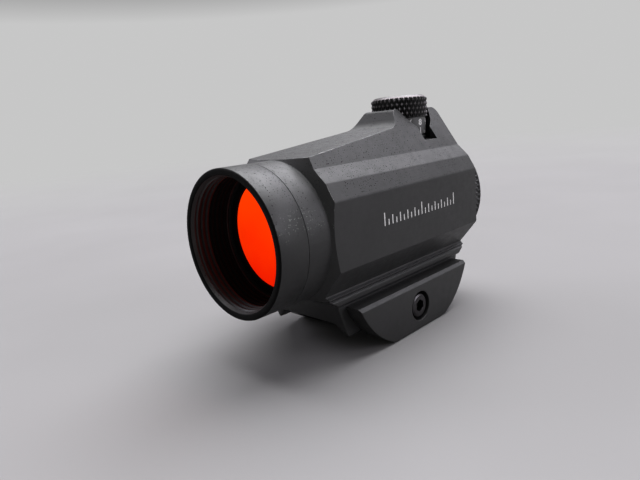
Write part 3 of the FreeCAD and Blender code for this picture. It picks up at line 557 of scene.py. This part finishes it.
def switch_knob():
    """Hollow rotary switch with a knurled band, a groove for its seal and a floor for the battery."""
    relief, count = knurl(SWITCH_RADIUS, 1.2, 0.38, 19.4, 22.0)
    profile = [
        (1.25, 15.3), (10.13, 15.3), (10.13, 15.65), (9.35, 15.65), (9.35, 16.45), (10.13, 16.45),
        (10.13, 16.85), (10.42, 16.85), (10.42, 17.15), (11.28, 17.15), (11.28, 16.85),
        (11.35, 16.85), (SWITCH_RADIUS, 17.1), (SWITCH_RADIUS, 22.1), (11.3, 22.4), (10.45, 22.4),
        (10.45, 20.7), (10.25, 20.7), (10.25, 16.9), (2.4, 16.9), (2.4, 16.35), (1.25, 16.35),
    ]
    matrix = facing_matrix(RIGHT, SWITCH_CENTRE)
    points, faces = turned_points(profile, count * 8, matrix, relief, 0.14)
    piece = add_piece(
        "switch_knob_knurled", points, faces, looks["black_anodised"], "brightness_switch"
    )
    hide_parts("switch_knob")


for turret, direction in (("elevation", UP), ("windage", RIGHT)):
    knob(turret, direction)
bezel()
eyepiece_ring()
switch_knob()


# ---------------------------------------------------------------- marks


def glyph(text, size, boldness=0.022, widen=1.0):
    """Outline of a digit as flat points and faces, centred on the origin, in millimetres."""
    curve = bpy.data.curves.new("glyph", "FONT")
    curve.body = text
    curve.size = size
    curve.align_x = "CENTER"
    curve.align_y = "CENTER"
    curve.resolution_u = 3
    curve.offset = size * boldness
    holder = bpy.data.objects.new("glyph", curve)
    bpy.context.scene.collection.objects.link(holder)
    bpy.context.view_layer.update()
    mesh = bpy.data.meshes.new_from_object(holder.evaluated_get(bpy.context.evaluated_depsgraph_get()))
    points = [Vector((vertex.co.x * widen, vertex.co.y, 0)) for vertex in mesh.vertices]
    faces = [list(polygon.vertices) for polygon in mesh.polygons]
    bpy.data.objects.remove(holder)
    bpy.data.meshes.remove(mesh)
    return points, faces


def bar(width, low, high):
    """Flat upright stroke, as points and faces."""
    half = width / 2
    corners = ((-half, low, 0), (half, low, 0), (half, high, 0), (-half, high, 0))
    return [Vector(corner) for corner in corners], [[0, 1, 2, 3]]


def wrap(shapes, radius, matrix):
    """Flat shapes at (angle, station) wrapped on a cylinder."""
    points, faces = [], []
    for (flat, flat_faces), angle, station in shapes:
        base = len(points)
        for point in flat:
            turn = angle + point.x / radius
            spot = Vector((radius * math.cos(turn), radius * math.sin(turn), station + point.y))
            points.append(matrix @ spot)
        faces += [[base + corner for corner in face] for face in flat_faces]
    return points, faces


def dial_marks(prefix, facing):
    """A tick at every second click, with a number at every second tick."""
    shapes = []
    tick_station, digit_station = 15.98, 18.62
    for tick in range(DIAL_TICKS):
        angle = math.radians(360 / DIAL_TICKS * tick - DIAL_TURN)
        if tick % 2:
            shapes.append((bar(0.22, 0, 0.8), angle, tick_station))
        else:
            shapes.append((bar(0.28, 0, 1.45), angle, tick_station))
            shapes.append((glyph(str(tick // 2), DIGIT_SIZE, 0.045, 1.2), angle, digit_station))
    points, faces = wrap(shapes, DIAL_SURFACE + MARK_HEIGHT, facing_matrix(facing, TURRET_CENTRE))
    add_piece(f"{prefix}_dial_marks", points, faces, white, f"{prefix}_turret")


def switch_marks():
    """Brightness levels around the switch, 0 for off."""
    shapes = []
    digit_station = 18.4
    for level in range(SWITCH_LEVELS):
        angle = 2 * math.pi * level / SWITCH_LEVELS
        shapes.append((glyph(str(level), DIGIT_SIZE), angle, digit_station))
    points, faces = wrap(shapes, SWITCH_RADIUS + MARK_HEIGHT, facing_matrix(RIGHT, SWITCH_CENTRE))
    add_piece("switch_marks", points, faces, white, "brightness_switch")


def side_scale():
    """Plain graduated scale on the left face, ten steps of 2.6 mm with halves between."""
    points, faces = [], []
    start, step, base, width = -11.3, 1.3, 19.0, 0.34
    long, middle, short = 2.7, 1.9, 1.2
    turn = Matrix(((0, 0, 1), (1, 0, 0), (0, 1, 0))).to_4x4()
    for index in range(SCALE_TICKS):
        height = long if index % 10 == 0 else middle if index % 2 == 0 else short
        flat, flat_faces = bar(width, 0, height)
        first = len(points)
        for point in flat:
            points.append(turn @ (point + Vector((start + index * step, base, LEFT_FACE))))
        faces += [[first + corner for corner in face] for face in flat_faces]
    add_piece("side_scale", points, faces, white, "sight_body")


for turret, direction in (("elevation", UP), ("windage", RIGHT)):
    dial_marks(turret, direction)
switch_marks()
side_scale()


# ---------------------------------------------------------------- stage


def stage_floor():
    """Pale floor that melts into the studio's horizon far from the sight."""
    look = Look("floor_pale")
    tone = look.remap(look.noise(0.01, 3), 0.3, 0.7)
    pale = look.blend(tone, (0.235, 0.231, 0.230, 1), (0.249, 0.245, 0.244, 1))
    far = look.remap(look.vector("LENGTH", look.place), *FLOOR_FADE)
    look.set(
        Base_Color=look.blend(far, pale, grey(0.0)), Roughness=0.9,
        Emission_Color=look.blend(far, grey(0.0), grey(HORIZON)),
    )
    look.shader.inputs["Emission Strength"].default_value = 1.0
    look.shader.inputs["Specular IOR Level"].default_value = 0.0
    mesh = bpy.data.meshes.new("floor")
    corners = ((-1, -1), (1, -1), (1, 1), (-1, 1))
    mesh.from_pydata([(x * FLOOR_HALF, y * FLOOR_HALF, FLOOR * MM) for x, y in corners], [], [[0, 1, 2, 3]])
    mesh.materials.append(look.material)
    floor = bpy.data.objects.new("floor", mesh)
    bpy.context.scene.collection.objects.link(floor)


def camera():
    """Front left of the sight, a little above it."""
    azimuth, elevation, roll = (math.radians(angle) for angle in (45.89, 12.65, -5.29))
    distance, aside, below = 110.01, 0.82, 4.27
    target = Vector((0, -13.5, AXIS_HEIGHT))
    back = Vector((
        math.sin(azimuth) * math.cos(elevation),
        -math.cos(azimuth) * math.cos(elevation),
        math.sin(elevation),
    ))
    level = Vector((math.cos(azimuth), math.sin(azimuth), 0))
    upright = back.cross(level)
    across = math.cos(roll) * level + math.sin(roll) * upright
    upward = math.cos(roll) * upright - math.sin(roll) * level
    place = target + back * distance - across * aside - upward * below
    lens = bpy.data.cameras.new("camera")
    lens.lens = 28.59
    lens.sensor_width = 36.0
    lens.clip_start = 0.005
    holder = bpy.data.objects.new("camera", lens)
    turn = Matrix((across, upward, back)).transposed().to_4x4()
    holder.matrix_world = Matrix.Translation(place * MM) @ turn
    bpy.context.scene.collection.objects.link(holder)
    bpy.context.scene.camera = holder


def softbox(name, direction, width, height, brightness):
    """Rectangular area light facing the sight, sized in metres, with a given radiance."""
    lamp = bpy.data.lights.new(name, "AREA")
    lamp.shape = "RECTANGLE"
    lamp.size = width
    lamp.size_y = height
    lamp.energy = brightness * math.pi * width * height
    lamp.color = (0.94, 0.92, 1.0)
    holder = bpy.data.objects.new(name, lamp)
    outward = Vector(direction).normalized()
    holder.location = outward * LAMP_DISTANCE
    holder.rotation_euler = outward.to_track_quat("Z", "Y").to_euler()
    bpy.context.scene.collection.objects.link(holder)


def studio():
    """Tent, pale at eye level and dim above, with a broad soft key above and behind the sight."""
    world = bpy.data.worlds.new("studio")
    world.use_nodes = True
    tree = world.node_tree
    spot = tree.nodes.new("ShaderNodeTexCoord")
    split = tree.nodes.new("ShaderNodeSeparateXYZ")
    ramp = tree.nodes.new("ShaderNodeValToRGB")
    tree.links.new(spot.outputs["Generated"], split.inputs[0])
    tree.links.new(split.outputs["Z"], ramp.inputs[0])
    tree.links.new(ramp.outputs[0], tree.nodes["Background"].inputs["Color"])
    heights = ((0.0, HORIZON), (0.20, HORIZON), (0.30, CEILING), (1.0, ZENITH))
    while len(ramp.color_ramp.elements) < len(heights):
        ramp.color_ramp.elements.new(0.5)
    for element, (height, level) in zip(ramp.color_ramp.elements, heights):
        element.position = height
        element.color = grey(level)
    bpy.context.scene.world = world
    bpy.context.scene.view_settings.view_transform = "Standard"
    bpy.context.scene.view_settings.look = "Medium High Contrast"
    key = bpy.data.lights.new("key", "SUN")
    key.energy = 4.6
    key.angle = math.radians(64)
    key.color = (0.97, 0.97, 1.0)
    holder = bpy.data.objects.new("key", key)
    holder.rotation_euler = Vector((-0.15, 0.28, 0.92)).to_track_quat("Z", "Y").to_euler()
    bpy.context.scene.collection.objects.link(holder)
    softbox("back_left", (-0.05, 0.74, 0.64), 1.6, 0.7, 2.6)
    softbox("right", (-0.84, -0.28, 0.50), 0.8, 0.7, 3.6)
    softbox("left", (0.80, 0.46, 0.38), 0.9, 0.6, 4.4)


stage_floor()
studio()
camera()
